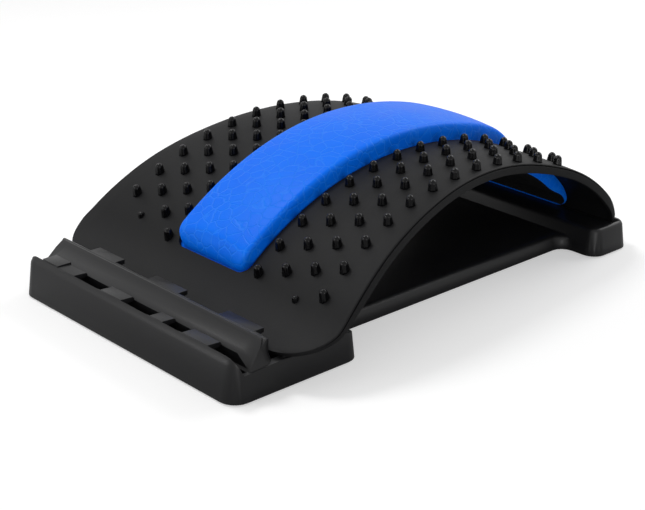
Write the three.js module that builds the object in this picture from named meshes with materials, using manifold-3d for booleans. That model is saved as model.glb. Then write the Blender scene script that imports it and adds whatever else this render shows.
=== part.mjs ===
// Arched back stretcher: a springy studded arch on a low moulded base.
// Millimetres, X across the body, Y along the base from the adjusting head (-Y) to the rear foot, Z up.
// The origin is on the floor, below the middle of the object.

import * as THREE from 'three';
import { mergeVertices } from 'three/addons/utils/BufferGeometryUtils.js';
import Module from 'manifold-3d';

const wasm = await Module();
wasm.setup();

const degree = Math.PI / 180;

// Clearances and overruns shared by every piece
const seatGap = 0.3;
const cutOverrun = 2;
const weldTolerance = 1e-4;

// Base: head block at the front, waist board, foot block at the rear
const baseLength = 406;
const wall = 3;
const headWidth = 234;
const headDepth = 110;
const headHeight = 36;
const headDraft = 4;
const headCornerRadius = 12;
const waistWidth = 162;
const waistHeight = 11;
const waistEdgeRadius = 5;
const waistDraft = 1.5;
const neckFilletRadius = 10;
const footWidth = 226;
const footDepth = 44;
const footHeight = 21;
const footDraft = 3;
const footCornerRadius = 11;
const footEdgeRadius = 2.5;
const ribThickness = 1.8;
const ribPitch = 46;
const ribSetback = 62;
const ribRecess = 2;
const plateauTopZ = 23;
const plateauTopSetback = 85;
const plateauRearZ = 19;
const plateauRearSetback = 103;
const plateauRearDrop = 4;

// Adjusting head: a round front rail and two ridges at the end of ramps, each with lips that reach
// back over the groove behind it, which takes the arch's front edge; setbacks from the base's front
const ridgeSetback = [6, 34.2, 63.2];
const ridgeTopZ = [31.2, 35, 25.5];
const ridgeThickness = 4.5;
const ridgeRound = 1.4;
const ridgeBackSlope = 5;
const ridgeEndLean = 5;
const ridgeEndRadius = 10;
const railEdgeRadius = 6.5;
const railRearDrop = 1.3;
const grooveFloorZ = [18, 19, 17];
const seatedRidge = 1;
const grooveFloorWidth = 5;
const lipThickness = 3.2;
const lipRoot = 2;
const lipFall = 0.6;
const lipReach = [10.8, 6.2, 6.2];
const lipCentresX = [[-60, -8, 40, 80], [-57, 11, 84], [-57, 11, 84]];
const lipLengths = [[38, 39, 26, 39], [42, 43, 43], [42, 43, 43]];
const coreHoleWidth = 6;
const coreHoleShift = [[21, 23, 14, 20.5], [22, 22, 14], [22, 22, 14]];
const coreHoleLengths = [[36, 37, 22, 22], [34, 34, 22], [34, 34, 22]];
const headHollowInset = 16;

// Rubber feet pressed into pockets under the base
const rubberFootRadius = 8;
const rubberFootThickness = 3;
const rubberFootProud = 1;
const rubberFootInset = 25;
const discSides = 16;
const footBossWall = 2.5;

// Arch plate: side profile in its middle, with the tail's bead set back into the foot
const crownZ = 100;
const toeAngle = 23.5;
const toeLength = 24;
const blendRadius = 60;
const frontShoulderRadius = 232;
const crownFrontTurn = 21.5;
const crownRadius = 250;
const crownRearTurn = 18.5;
const rearShoulderRadius = 157;
const heelRadius = 43;
const tailAngle = 76;
const tailLength = 12.4;
const tailSetback = 12;
const tailBeadZ = 15;
const tailBeadRadius = 2.6;
const tailFlare = 18;
const leastFitShare = 0.3;
const mostFitShare = 3;

// Arch plate: outline seen from above and rim section
const plateThickness = 3;
const plateFrontWidth = 274;
const plateWaistWidth = 208;
const plateRearWidth = 214;
const taperFromShare = 0.115;
const flareFromShare = 0.16;
const camberDrop = 4.6;
const camberFrontRun = 85;
const camberFrontFade = 75;
const camberRearFade = 130;
const plateCornerRadius = 36;
const tailCornerRadius = 14;
const skirtDepth = 7;
const skirtThickness = 2.4;
const skirtOutset = 0.9;
const skirtStep = 1.5;
const skirtFadeFront = 70;
const skirtFadeRear = 34;
const edgeRound = 0.8;
const lineSteps = [1, 3, 5, 11, 8, 5, 2];

// Window in the plate and the pad that sits through it
const windowWidth = 76;
const windowFrontMargin = 41;
const windowRearMargin = 72;
const windowCornerRadius = 9;
const padClearance = 1.2;
const padRise = 12.6;
const padFrontRiseShare = 0.76;
const padFrontRound = 13;
const padRearRound = 50;
const padEdgeRadius = 3.5;
const padSideBulge = 0.8;
const padCrown = 1.6;
const padCrownMiddleShare = 0.55;
const padCrownFallShare = 0.7;
const padBulgeHeightShare = 0.5;
const arcMiddleShare = 1 - Math.SQRT1_2;
const padFlangeSideReach = 25;
const padFlangeFrontReach = 6;
const padFlangeRearReach = 56;
const padFlangeThickness = 2.4;
const padFlangeCornerRadius = 12;
const padFlangeToCamber = 3;
const coverThickness = 1.2;

// Pressure nodules in slanting rows on both sides of the window, runs counted from the front edge
const nodulePitch = 22.9;
const noduleSlant = 9.6;
const noduleStartRight = 48.5;
const noduleStartLeft = 44.5;
const noduleFrontLimit = 42;
const noduleStubLimit = 48.3;
const noduleRearMargin = 86;
const noduleColumnsX = [47.5, 67.5, 88.5, 108.5];
const noduleNarrowingShare = 0.8;
const noduleEdgeKeep = 6.5;
const noduleLeanShare = 0.3;
const noduleRadius = 3.6;
const noduleShoulderRadius = 2.85;
const noduleShoulderHeight = 5.7;
const noduleTipRadius = 1.5;
const noduleHeight = 7.8;
const noduleFluteDepth = 0.5;
const noduleFlutes = 5;
const stubHeightShare = 0.45;

// Colours and finishes
const blackPlastic = { color: 0x1c1c1d, roughness: 0.5, metalness: 0 };
const archPlastic = { color: 0x202021, roughness: 0.55, metalness: 0 };
const padBlue = { color: 0x1257e8, roughness: 0.6, metalness: 0 };
const foamGrey = { color: 0x4f6fb0, roughness: 0.9, metalness: 0 };
const rubberGrey = { color: 0x2b2b2c, roughness: 0.9, metalness: 0 };

// Closed solid from a geometry, and a geometry from a solid
function toSolid(geometry) {
  const bare = geometry.clone();
  for (const name of Object.keys(bare.attributes)) {
    if (name !== 'position') bare.deleteAttribute(name);
  }
  const merged = mergeVertices(bare, weldTolerance);
  const vertProperties = Float32Array.from(merged.attributes.position.array);
  const triVerts = Uint32Array.from(merged.index.array);
  return new wasm.Manifold(new wasm.Mesh({ numProp: 3, vertProperties, triVerts }));
}

function toGeometry(solid) {
  const mesh = solid.getMesh();
  const geometry = new THREE.BufferGeometry();
  const positions = [];
  for (let i = 0; i < mesh.vertProperties.length; i += mesh.numProp) {
    positions.push(mesh.vertProperties[i], mesh.vertProperties[i + 1], mesh.vertProperties[i + 2]);
  }
  geometry.setAttribute('position', new THREE.Float32BufferAttribute(positions, 3));
  geometry.setIndex(Array.from(mesh.triVerts));
  geometry.computeVertexNormals();
  return geometry;
}

function union(solids) {
  return solids.reduce((sum, solid) => sum.add(solid));
}

// Skin over a row of rings with equal point counts, capped at both ends
function loft(rings) {
  const count = rings[0].length;
  const positions = [];
  const index = [];
  for (const ring of rings) {
    for (const point of ring) positions.push(point.x, point.y, point.z);
  }
  for (let r = 0; r + 1 < rings.length; r += 1) {
    for (let i = 0; i < count; i += 1) {
      const next = (i + 1) % count;
      const a = r * count + i;
      const b = r * count + next;
      const c = a + count;
      const d = b + count;
      index.push(a, b, d, a, d, c);
    }
  }
  capRing(rings[0], 0, true, index);
  capRing(rings[rings.length - 1], (rings.length - 1) * count, false, index);
  const geometry = new THREE.BufferGeometry();
  geometry.setAttribute('position', new THREE.Float32BufferAttribute(positions, 3));
  geometry.setIndex(signedVolume(positions, index) < 0 ? flipped(index) : index);
  return toSolid(geometry);
}

function capRing(ring, offset, reverse, index) {
  const { origin, u, v } = ringPlane(ring);
  const flat = ring.map((point) => {
    const local = point.clone().sub(origin);
    return new THREE.Vector2(local.dot(u), local.dot(v));
  });
  const area = THREE.ShapeUtils.area(flat);
  for (const [a, b, c] of THREE.ShapeUtils.triangulateShape(flat, [])) {
    const keep = (area > 0) !== reverse;
    if (keep) index.push(offset + a, offset + b, offset + c);
    else index.push(offset + a, offset + c, offset + b);
  }
}

// Plane of a flat ring: its normal by Newell's sum, and two axes in it
function ringPlane(ring) {
  const normal = new THREE.Vector3();
  ring.forEach((point, i) => {
    const next = ring[(i + 1) % ring.length];
    normal.x += (point.y - next.y) * (point.z + next.z);
    normal.y += (point.z - next.z) * (point.x + next.x);
    normal.z += (point.x - next.x) * (point.y + next.y);
  });
  normal.normalize();
  const origin = ring[0];
  const helper = Math.abs(normal.x) < 0.5 ? new THREE.Vector3(1, 0, 0) : new THREE.Vector3(0, 1, 0);
  const u = helper.clone().cross(normal).normalize();
  const v = normal.clone().cross(u);
  return { origin, u, v };
}

function signedVolume(positions, index) {
  const at = (i) => new THREE.Vector3().fromArray(positions, 3 * i);
  let sum = 0;
  for (let i = 0; i < index.length; i += 3) {
    sum += at(index[i]).dot(at(index[i + 1]).cross(at(index[i + 2])));
  }
  return sum;
}

function flipped(index) {
  const turned = [];
  for (let i = 0; i < index.length; i += 3) turned.push(index[i], index[i + 2], index[i + 1]);
  return turned;
}

// Box between two corners
function box(x0, x1, y0, y1, z0, z1) {
  const geometry = new THREE.BoxGeometry(x1 - x0, y1 - y0, z1 - z0);
  geometry.translate((x0 + x1) / 2, (y0 + y1) / 2, (z0 + z1) / 2);
  return toSolid(geometry);
}

// Side profile in Y and Z carried across X
function extrudeAcross(points, x0, x1) {
  const shape = new THREE.Shape(points.map(([y, z]) => new THREE.Vector2(y, z)));
  const geometry = new THREE.ExtrudeGeometry(shape, { depth: x1 - x0, bevelEnabled: false });
  geometry.rotateZ(Math.PI / 2);
  geometry.rotateY(Math.PI / 2);
  geometry.translate(x0, 0, 0);
  return toSolid(geometry);
}

// Upright disc or cone
function disc(x, y, z0, z1, lowRadius, highRadius, segments) {
  const geometry = new THREE.CylinderGeometry(highRadius, lowRadius, z1 - z0, segments);
  geometry.rotateX(Math.PI / 2);
  geometry.translate(x, y, (z0 + z1) / 2);
  return toSolid(geometry);
}

// Rounded rectangle in plan
function roundedRectangle(x0, x1, y0, y1, radius, z, steps) {
  const corners = [
    [x1 - radius, y1 - radius, 0],
    [x0 + radius, y1 - radius, 1],
    [x0 + radius, y0 + radius, 2],
    [x1 - radius, y0 + radius, 3],
  ];
  const ring = [];
  for (const [cx, cy, quarter] of corners) {
    for (let i = 0; i <= steps; i += 1) {
      const angle = (quarter + i / steps) * Math.PI / 2;
      ring.push(new THREE.Vector3(cx + radius * Math.cos(angle), cy + radius * Math.sin(angle), z));
    }
  }
  return ring;
}

// Block with drafted walls and a rounded top edge
function draftedBlock({ x0, x1, y0, y1, radius, z0, z1, draft, edge, steps = 5 }) {
  const rings = [];
  const level = (z, inset) => {
    const corner = Math.max(radius - inset, radius / 4);
    rings.push(roundedRectangle(x0 + inset, x1 - inset, y0 + inset, y1 - inset, corner, z, steps));
  };
  level(z0, 0);
  const drop = edge;
  level(z1 - drop, draft * (z1 - drop - z0) / (z1 - z0));
  if (edge > 0) {
    const turns = 3;
    for (let i = 1; i <= turns; i += 1) {
      const angle = (i / turns) * Math.PI / 2;
      level(z1 - edge + edge * Math.sin(angle), draft + edge * (1 - Math.cos(angle)));
    }
  }
  return loft(rings);
}

// Outline of the base seen from above, shrunk by an inset: head, neck fillets, waist, foot
function baseOutline(inset, z) {
  const front = -baseLength / 2 + inset;
  const rear = baseLength / 2 - inset;
  const headEnd = -baseLength / 2 + headDepth - inset;
  const footStart = baseLength / 2 - footDepth + inset;
  const headX = headWidth / 2 - inset;
  const waistX = waistWidth / 2 - inset;
  const footX = footWidth / 2 - inset;
  const convexHead = Math.max(headCornerRadius - inset, wall);
  const convexFoot = Math.max(footCornerRadius - inset, wall);
  const concave = neckFilletRadius + inset;
  const steps = 4;
  const half = [];
  const arc = (cx, cy, radius, from, to) => {
    for (let i = 0; i <= steps; i += 1) {
      const angle = (from + (to - from) * i / steps) * degree;
      half.push([cx + radius * Math.cos(angle), cy + radius * Math.sin(angle)]);
    }
  };
  arc(headX - convexHead, front + convexHead, convexHead, -90, 0);
  arc(headX - convexHead, headEnd - convexHead, convexHead, 0, 90);
  arc(waistX + concave, headEnd + concave, concave, 270, 180);
  arc(waistX + concave, footStart - concave, concave, 180, 90);
  arc(footX - convexFoot, footStart + convexFoot, convexFoot, -90, 0);
  arc(footX - convexFoot, rear - convexFoot, convexFoot, 0, 90);
  const left = half.map(([x, y]) => [-x, y]).reverse();
  return [...half, ...left].map(([x, y]) => new THREE.Vector3(x, y, z));
}

// Low board over the whole outline, with drafted sides and a round top edge
function baseBoard(inset, z0, z1) {
  const rings = [baseOutline(inset, z0)];
  const turns = 3;
  const edge = waistEdgeRadius;
  const shoulder = z1 - edge;
  rings.push(baseOutline(inset + waistDraft * (shoulder - z0) / (z1 - z0), shoulder));
  for (let i = 1; i <= turns; i += 1) {
    const angle = (i / turns) * Math.PI / 2;
    rings.push(baseOutline(inset + waistDraft + edge * (1 - Math.cos(angle)), shoulder + edge * Math.sin(angle)));
  }
  return loft(rings);
}

const headFrontY = -baseLength / 2;
const headRearY = headFrontY + headDepth;
const footRearY = baseLength / 2;
const footFrontY = footRearY - footDepth;

const ridgeRearY = ridgeSetback.map((setback) => headFrontY + setback);

// Low part of the head from front to rear: groove floors, then the plateau
function headProfile() {
  const bottom = -cutOverrun;
  const front = headFrontY - cutOverrun;
  const rear = headRearY + cutOverrun;
  const floors = ridgeRearY.flatMap((rearY, i) => [
    [rearY + ridgeBackSlope, grooveFloorZ[i]],
    [rearY + ridgeBackSlope + grooveFloorWidth, grooveFloorZ[i]],
  ]);
  return [
    [front, bottom],
    [front, grooveFloorZ[0]],
    ...floors,
    [headFrontY + plateauTopSetback, plateauTopZ],
    [headFrontY + plateauRearSetback, plateauRearZ],
    [rear, plateauRearZ - plateauRearDrop],
    [rear, bottom],
  ];
}

// Rooms below the ridges, on top of the flat room below the head
function headHollowProfile() {
  const ceiling = grooveFloorZ[0] - wall;
  const bottom = ceiling - wall;
  const points = [[headFrontY + wall + cutOverrun, bottom], [headFrontY + wall + cutOverrun, ceiling]];
  for (let i = 1; i < ridgeRearY.length; i += 1) {
    const peak = ridgeTopZ[i] - 2 * wall;
    const peakY = ridgeRearY[i] - wall;
    const rise = peak - ceiling;
    points.push([peakY - rise - wall / 2, ceiling]);
    points.push([peakY - wall / 2, peak]);
    points.push([peakY, peak]);
    points.push([peakY + ridgeBackSlope, grooveFloorZ[i] - wall]);
  }
  points.push([headRearY - wall - cutOverrun, ceiling]);
  points.push([headRearY - wall - cutOverrun, bottom]);
  return points;
}

function headBlock() {
  const block = draftedBlock({
    x0: -headWidth / 2,
    x1: headWidth / 2,
    y0: headFrontY,
    y1: headRearY,
    radius: headCornerRadius,
    z0: 0,
    z1: headHeight,
    draft: headDraft,
    edge: 0,
  });
  return block.intersect(extrudeAcross(headProfile(), -headWidth, headWidth));
}

// Front rail: the head's walls run up into a big round, cut off steeply at the first groove
function headRail() {
  const top = ridgeTopZ[0];
  const rear = ridgeRearY[0];
  const block = draftedBlock({
    x0: -headWidth / 2,
    x1: headWidth / 2,
    y0: headFrontY,
    y1: headRearY,
    radius: headCornerRadius,
    z0: 0,
    z1: top,
    draft: headDraft * top / headHeight,
    edge: railEdgeRadius,
  });
  const section = [
    [headFrontY - cutOverrun, wall],
    [headFrontY - cutOverrun, top + cutOverrun],
    [rear, top + cutOverrun],
    [rear, top - railRearDrop - ridgeRound],
    [rear + ridgeBackSlope, grooveFloorZ[0]],
    [rear + ridgeBackSlope, grooveFloorZ[0] - wall / 2],
    [headFrontY + wall, grooveFloorZ[0] - wall / 2],
    [headFrontY + wall, wall],
  ];
  return block.intersect(extrudeAcross(section, -headWidth, headWidth));
}

// Ridge at the end of a ramp, with leaning flanks and corners round in plan
function headRidge(i) {
  const low = grooveFloorZ[i] - wall / 2;
  const top = ridgeTopZ[i];
  const rear = ridgeRearY[i];
  const crest = rear - ridgeThickness;
  const foot = ridgeRearY[i - 1] + ridgeBackSlope + grooveFloorWidth;
  const section = [
    [foot, grooveFloorZ[i - 1] - wall / 2],
    [foot, grooveFloorZ[i - 1]],
    [crest, top - ridgeRound],
    [crest + ridgeRound, top],
    [rear - ridgeRound, top],
    [rear, top - ridgeRound],
    [rear + ridgeBackSlope, grooveFloorZ[i]],
    [rear + ridgeBackSlope, low],
  ];
  const lowX = headWidth / 2 - headDraft * grooveFloorZ[i] / headHeight - seatGap;
  const highX = lowX - ridgeEndLean;
  const y0 = foot - ridgeEndRadius;
  const z1 = top + ridgeRound;
  const flanks = loft([
    roundedRectangle(-lowX, lowX, y0, rear + ridgeBackSlope + ridgeRound, ridgeEndRadius, low - wall, 4),
    roundedRectangle(-highX, highX, y0, rear + ridgeRound / 2, ridgeEndRadius, z1, 4),
  ]);
  return flanks.intersect(extrudeAcross(section, -headWidth, headWidth));
}

// Lips that reach back from the ridges, so that the front edge can't jump out of its groove
function headLips() {
  const lips = [];
  ridgeRearY.forEach((rear, i) => {
    const top = i === 0 ? ridgeTopZ[i] - railRearDrop : ridgeTopZ[i];
    const nose = lipThickness / 3;
    const end = rear + lipReach[i];
    const section = [
      [rear - ridgeRound, top - lipThickness - ridgeRound],
      [rear - ridgeRound, top - lipRoot],
      [rear, top],
      [end - nose, top - lipFall],
      [end, top - lipFall - nose],
      [end, top - lipFall - lipThickness + nose],
      [end - nose, top - lipFall - lipThickness],
    ];
    lipCentresX[i].forEach((centre, k) => {
      const half = lipLengths[i][k] / 2;
      lips.push(extrudeAcross(section, centre - half, centre + half));
    });
  });
  return lips;
}

// Holes through the groove floors where the mould cores of the lips came out
function coreHoles() {
  const holes = [];
  ridgeRearY.forEach((rear, i) => {
    const y0 = rear + ridgeBackSlope - ridgeRound;
    lipCentresX[i].forEach((centre, k) => {
      const middle = centre + coreHoleShift[i][k];
      const half = coreHoleLengths[i][k] / 2;
      const top = grooveFloorZ[i] + wall;
      holes.push(box(middle - half, middle + half, y0, y0 + coreHoleWidth, -cutOverrun, top));
    });
  });
  return holes;
}

function footBlock() {
  return draftedBlock({
    x0: -footWidth / 2,
    x1: footWidth / 2,
    y0: footFrontY,
    y1: footRearY,
    radius: footCornerRadius,
    z0: 0,
    z1: footHeight,
    draft: footDraft,
    edge: footEdgeRadius,
  });
}

// Hollow under the base, cut in one piece from below
function baseHollow() {
  const board = baseBoard(wall, -cutOverrun, waistHeight - wall);
  const inner = draftedBlock({
    x0: -headWidth / 2 + wall,
    x1: headWidth / 2 - wall,
    y0: headFrontY + wall,
    y1: headRearY - wall,
    radius: headCornerRadius - wall,
    z0: -cutOverrun,
    z1: headHeight,
    draft: headDraft,
    edge: 0,
  });
  const roomX = headWidth / 2 - headHollowInset;
  const rooms = inner.intersect(extrudeAcross(headHollowProfile(), -roomX, roomX));
  const ceiling = grooveFloorZ[0] - wall;
  const head = inner.intersect(box(-headWidth, headWidth, headFrontY, headRearY, -cutOverrun, ceiling));
  const foot = draftedBlock({
    x0: -footWidth / 2 + wall,
    x1: footWidth / 2 - wall,
    y0: footFrontY + wall,
    y1: footRearY - wall,
    radius: footCornerRadius - wall,
    z0: -cutOverrun,
    z1: waistHeight - wall,
    draft: footDraft / 2,
    edge: 0,
  });
  return union([board, head, rooms, foot]);
}

// Stiffening ribs, a little short of the floor
function baseRibs() {
  const ribs = [];
  const half = ribThickness / 2;
  const top = headHeight;
  for (let y = headFrontY + ribSetback; y < footRearY - ribThickness; y += ribPitch) {
    ribs.push(box(-headWidth / 2, headWidth / 2, y - half, y + half, ribRecess, top));
  }
  for (let x = -ribPitch * 2; x <= ribPitch * 2; x += ribPitch) {
    ribs.push(box(x - half, x + half, headFrontY, footRearY, ribRecess, top));
  }
  return union(ribs);
}

// Places of the rubber feet, four at the corners
function rubberFootPlaces() {
  const frontX = headWidth / 2 - rubberFootInset;
  const rearX = footWidth / 2 - rubberFootInset;
  return [
    ['foot_pad_front_left', -frontX, headFrontY + rubberFootInset],
    ['foot_pad_front_right', frontX, headFrontY + rubberFootInset],
    ['foot_pad_rear_left', -rearX, footRearY - footDepth / 2],
    ['foot_pad_rear_right', rearX, footRearY - footDepth / 2],
  ];
}

// Slot in the foot: a round bottom for the arch's bead and walls that open for its swing
function tailSlot(axis) {
  const length = plateRearWidth + 2 * seatGap;
  const radius = tailBeadRadius + seatGap;
  const top = footHeight + cutOverrun;
  const rise = top - axis.z;
  const lean = rise * Math.tan(tailFlare * degree);
  const forward = rise / Math.tan(tailAngle * degree);
  const bottom = [];
  const steps = 8;
  for (let i = 0; i <= steps; i += 1) {
    const angle = (180 + 180 * i / steps) * degree;
    bottom.push([axis.y + radius * Math.cos(angle), axis.z + radius * Math.sin(angle)]);
  }
  const section = [
    ...bottom,
    [axis.y + radius + lean, top],
    [axis.y - radius - forward, top],
  ];
  return extrudeAcross(section, -length / 2, length / 2);
}

function buildBase(axis) {
  const head = [headBlock(), headRail(), headRidge(1), headRidge(2), ...headLips()];
  const outer = union([baseBoard(0, 0, waistHeight), footBlock(), ...head]);
  let solid = outer.subtract(baseHollow().subtract(baseRibs()));
  const pocket = rubberFootRadius + seatGap;
  const boss = pocket + footBossWall;
  const bosses = [];
  const pockets = [];
  for (const [, x, y] of rubberFootPlaces()) {
    const depth = rubberFootThickness - rubberFootProud + seatGap;
    bosses.push(disc(x, y, 0, headHeight, boss, boss, discSides));
    pockets.push(disc(x, y, -cutOverrun, depth, pocket, pocket, discSides));
  }
  solid = solid.add(union(bosses).intersect(outer));
  solid = solid.subtract(union([...pockets, ...coreHoles(), tailSlot(axis)]));
  return toGeometry(solid);
}

// Turns at the feet of both shoulders at which the crown stands as high as wanted above both ends
function shoulderTurns(fit, rise, fall) {
  const frontCrown = crownFrontTurn * degree;
  const rearCrown = crownRearTurn * degree;
  const frontRadius = fit * frontShoulderRadius;
  const rearRadius = fit * rearShoulderRadius;
  const frontTop = fit * crownRadius * (1 - Math.cos(frontCrown)) + frontRadius * Math.cos(frontCrown);
  const rearTop = fit * crownRadius * (1 - Math.cos(rearCrown)) + rearRadius * Math.cos(rearCrown);
  const blendTop = blendRadius * Math.cos(toeAngle * degree);
  const heelTop = heelRadius * Math.cos(tailAngle * degree);
  const front = (frontTop + blendTop - rise) / (frontRadius + blendRadius);
  const rear = (rearTop - heelTop - fall) / (rearRadius - heelRadius);
  const turn = (cosine) => Math.acos(Math.min(1, Math.max(-1, cosine)));
  return [turn(front), turn(rear)];
}

// Side line of the arch's top face: toe, blend, front shoulder, crown, rear shoulder, heel, tail.
// Shoulders and crown are scaled together until the line spans from the groove to the foot.
class ArchLine {
  constructor(start, end) {
    const toe = toeAngle * degree;
    const tail = tailAngle * degree;
    const rise = crownZ - start[1] - toeLength * Math.sin(toe);
    const fall = crownZ - end[1] - tailLength * Math.sin(tail);
    let low = leastFitShare;
    let high = mostFitShare;
    for (let i = 0; i < 50; i += 1) {
      const fit = (low + high) / 2;
      this.build(start, fit, shoulderTurns(fit, rise, fall));
      if (this.end().y < end[0]) low = fit;
      else high = fit;
    }
    this.length = this.parts.reduce((sum, part) => sum + part.length, 0);
    const before = this.parts.slice(0, 3).reduce((sum, part) => sum + part.length, 0);
    this.crownRun = before + low * crownRadius * crownFrontTurn * degree;
    this.crownY = this.at(this.crownRun).y;
  }

  build(start, fit, [front, rear]) {
    const toe = toeAngle * degree;
    const tail = tailAngle * degree;
    const frontCrown = crownFrontTurn * degree;
    const rearCrown = crownRearTurn * degree;
    this.parts = [];
    this.addLine(start, toe, toeLength);
    this.addArc(this.corner(), toe, front, blendRadius);
    this.addArc(this.corner(), front, frontCrown, fit * frontShoulderRadius);
    this.addArc(this.corner(), frontCrown, -rearCrown, fit * crownRadius);
    this.addArc(this.corner(), -rearCrown, -rear, fit * rearShoulderRadius);
    this.addArc(this.corner(), -rear, -tail, heelRadius);
    this.addLine(this.corner(), -tail, tailLength);
  }

  addLine([y, z], heading, length) {
    this.parts.push({ length, at: (run) => this.place(y, z, heading, run) });
  }

  addArc([y, z], from, to, radius) {
    const turn = to - from;
    const length = radius * Math.abs(turn);
    const side = Math.sign(turn);
    const at = (run) => {
      const heading = from + turn * run / length;
      return {
        y: y + side * radius * (Math.sin(heading) - Math.sin(from)),
        z: z - side * radius * (Math.cos(heading) - Math.cos(from)),
        heading,
      };
    };
    this.parts.push({ length, at });
  }

  place(y, z, heading, run) {
    return { y: y + run * Math.cos(heading), z: z + run * Math.sin(heading), heading };
  }

  end() {
    const last = this.parts[this.parts.length - 1];
    return last.at(last.length);
  }

  corner() {
    const { y, z } = this.end();
    return [y, z];
  }

  at(run) {
    let rest = run;
    for (const part of this.parts) {
      if (rest <= part.length || part === this.parts[this.parts.length - 1]) return part.at(rest);
      rest -= part.length;
    }
    return this.end();
  }

  // Point at a run along the line, x across, and rise out of the top face
  point(run, x, rise) {
    const { y, z, heading } = this.at(run);
    return new THREE.Vector3(x, y - rise * Math.sin(heading), z + rise * Math.cos(heading));
  }

}

// The line starts in its groove, just behind the lips and just above the floor, and ends in the foot
function seatedArchLine() {
  const toe = toeAngle * degree;
  const tail = tailAngle * degree;
  const frontEdgeY = ridgeRearY[seatedRidge] + lipReach[seatedRidge] + seatGap;
  const seat = grooveFloorZ[seatedRidge] + seatGap + plateThickness * Math.cos(toe);
  const tailY = footRearY - tailSetback + plateThickness / 2 * Math.sin(tail);
  return new ArchLine([frontEdgeY, seat], [tailY, tailBeadZ]);
}

const archLine = seatedArchLine();

function smooth(share) {
  const t = Math.min(1, Math.max(0, share));
  return t * t * (3 - 2 * t);
}

// Half width of the plate at a run: tapered to a waist at the crown, a little wider at the tail
function plateHalfWidth(run) {
  const { y } = archLine.at(run);
  const startY = archLine.at(0).y;
  const endY = archLine.end().y;
  const ahead = (y - startY) / (archLine.crownY - startY);
  const behind = (y - archLine.crownY) / (endY - archLine.crownY);
  const taper = smooth((ahead - taperFromShare) / (1 - taperFromShare));
  const flare = smooth((behind - flareFromShare) / (1 - flareFromShare));
  const narrowing = (plateFrontWidth - plateWaistWidth) * taper;
  const widening = (plateRearWidth - plateWaistWidth) * flare;
  const half = (plateFrontWidth - narrowing + widening) / 2;
  const corner = (distance, radius) => {
    if (distance >= radius) return 0;
    return radius - Math.sqrt(radius * radius - (radius - distance) ** 2);
  };
  return half - corner(run, plateCornerRadius) - corner(archLine.length - run, tailCornerRadius);
}

// Runs at which every piece on the arch gets a ring, finer where the line bends more
function gridRuns() {
  const runs = [0];
  let start = 0;
  archLine.parts.forEach((part, index) => {
    for (let i = 1; i <= lineSteps[index]; i += 1) runs.push(start + part.length * i / lineSteps[index]);
    start += part.length;
  });
  return runs;
}

// Quarter turns of a corner at both ends of a stretch, given as runs
function cornerRuns(from, to, frontCorner, rearCorner, steps) {
  const runs = [];
  for (let i = 0; i <= steps; i += 1) {
    const share = 1 - Math.cos((i / steps) * Math.PI / 2);
    runs.push(from + frontCorner * share, to - rearCorner * share);
  }
  return runs;
}

// Grid and corner runs of a stretch in order, without near doubles
function ringRuns(from, to, corners) {
  const grid = gridRuns().filter((run) => run > from && run < to);
  const fixed = corners.filter((run) => run >= from && run <= to);
  const free = grid.filter((run) => fixed.every((other) => Math.abs(other - run) > seatGap));
  return [...fixed, ...free].sort((a, b) => a - b).filter((run, i, all) => i === 0 || run - all[i - 1] > weldTolerance);
}

function plateRuns() {
  const { length } = archLine;
  return ringRuns(0, length, cornerRuns(0, length, plateCornerRadius, tailCornerRadius, 6));
}

// Fall of the plate's face towards its rims, fading out at the front edge and the tail
function camberAt(run, x, half) {
  const start = windowWidth / 2 + padFlangeSideReach + padFlangeToCamber;
  const reach = Math.min(Math.abs(x), half) - start;
  if (reach <= 0 || half <= start) return 0;
  const front = smooth((run - camberFrontRun) / camberFrontFade);
  const rear = smooth((archLine.length - run) / camberRearFade);
  return camberDrop * front * rear * (reach / (half - start)) ** 2;
}

// Section of the plate: top that falls to the rims, stepped rim, skirt hanging at both sides
function plateRing(run) {
  const half = plateHalfWidth(run);
  const fade = smooth(run / skirtFadeFront) * smooth((archLine.length - run) / skirtFadeRear);
  const depth = plateThickness + (skirtDepth - plateThickness) * fade;
  const outset = skirtOutset * fade;
  const camberStart = windowWidth / 2 + padFlangeSideReach + padFlangeToCamber;
  const camberMiddle = (camberStart + half) / 2;
  const side = [
    [camberStart, 0],
    [camberMiddle, 0],
    [half - edgeRound, 0],
    [half, -edgeRound],
    [half - edgeRound * fade, -skirtStep],
    [half + outset, -skirtStep - edgeRound / 2],
    [half + outset, -depth + edgeRound / 2],
    [half + outset - edgeRound, -depth],
    [half - skirtThickness, -depth],
    [half - skirtThickness - edgeRound, -plateThickness],
    [camberMiddle, -plateThickness],
    [camberStart, -plateThickness],
  ];
  const mirrored = side.map(([x, rise]) => [-x, rise]).reverse();
  return [...side, ...mirrored].map(([x, rise]) => archLine.point(run, x, rise - camberAt(run, x, half)));
}

// Cutter or solid that follows the arch line between two runs, with round corners in plan
function archSlab({ from, to, half, corner, low, high }) {
  const rings = ringRuns(from, to, cornerRuns(from, to, corner, corner, 4)).map((run) => {
    const end = Math.min(run - from, to - run);
    const cut = end < corner ? corner - Math.sqrt(corner * corner - (corner - end) ** 2) : 0;
    const x = half - cut;
    return [
      archLine.point(run, x, high),
      archLine.point(run, x, low),
      archLine.point(run, -x, low),
      archLine.point(run, -x, high),
    ];
  });
  return loft(rings);
}

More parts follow.
